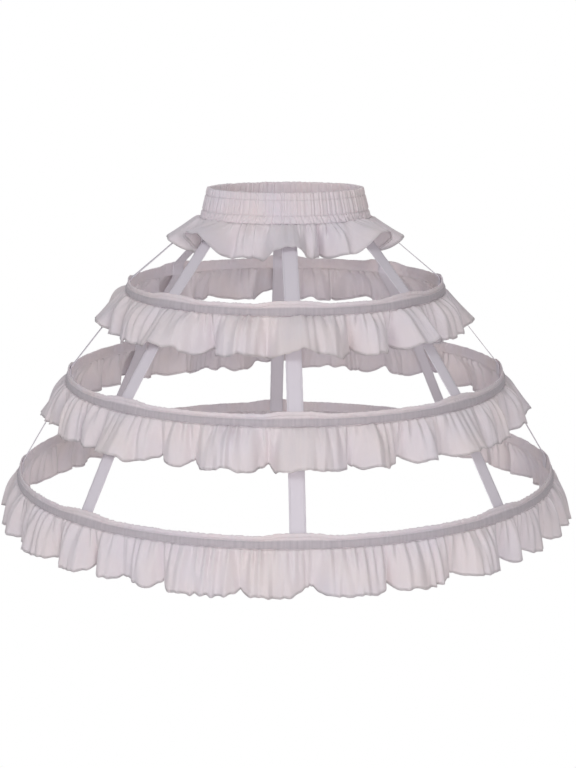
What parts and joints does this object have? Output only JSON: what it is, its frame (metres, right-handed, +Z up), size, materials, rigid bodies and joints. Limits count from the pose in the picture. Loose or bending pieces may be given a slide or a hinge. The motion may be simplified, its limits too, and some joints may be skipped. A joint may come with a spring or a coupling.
{
  "type": "crinoline cage",
  "caption": "Crinoline cage: a gathered elastic waistband and boned hoops hung on tapes, each edged with a white ruffle, worn to hold out a skirt.",
  "frame": {"origin": "centre of the waist opening, half way up the elastic", "axes": "+Z up out of the waist opening, -Y to the wearer's front, +X to the wearer's left"},
  "size_m": [0.97, 0.97, 0.553],
  "materials": {
    "waistband_cloth": "thin white woven cotton blend, finely gathered over elastic",
    "ruffle_cloth": "thin white woven cotton blend, gathered, slightly sheer",
    "casing_cloth": "white woven cloth, ruched over the bone",
    "tape": "white flat woven tape",
    "elastic": "white braided elastic",
    "bone": "white coated spring steel",
    "connector": "plain crimped sleeve"
  },
  "bodies": {
    "root": {"waistband": "waistband_cloth", "waist_elastic": "elastic", "waist_ruffle": "ruffle_cloth", "hoop_upper_casing": "casing_cloth", "hoop_upper_bone": "bone", "hoop_upper_connector": "connector", "hoop_upper_ruffle": "ruffle_cloth", "hoop_middle_casing": "casing_cloth", "hoop_middle_bone": "bone", "hoop_middle_connector": "connector", "hoop_middle_ruffle": "ruffle_cloth", "hoop_lower_casing": "casing_cloth", "hoop_lower_bone": "bone", "hoop_lower_connector": "connector", "hoop_lower_ruffle": "ruffle_cloth", "strap_front": "tape", "strap_front_left": "tape", "strap_left": "tape", "strap_back_left": "tape", "strap_back": "tape", "strap_back_right": "tape", "strap_right": "tape", "strap_front_right": "tape"}
  },
  "joints": []
}
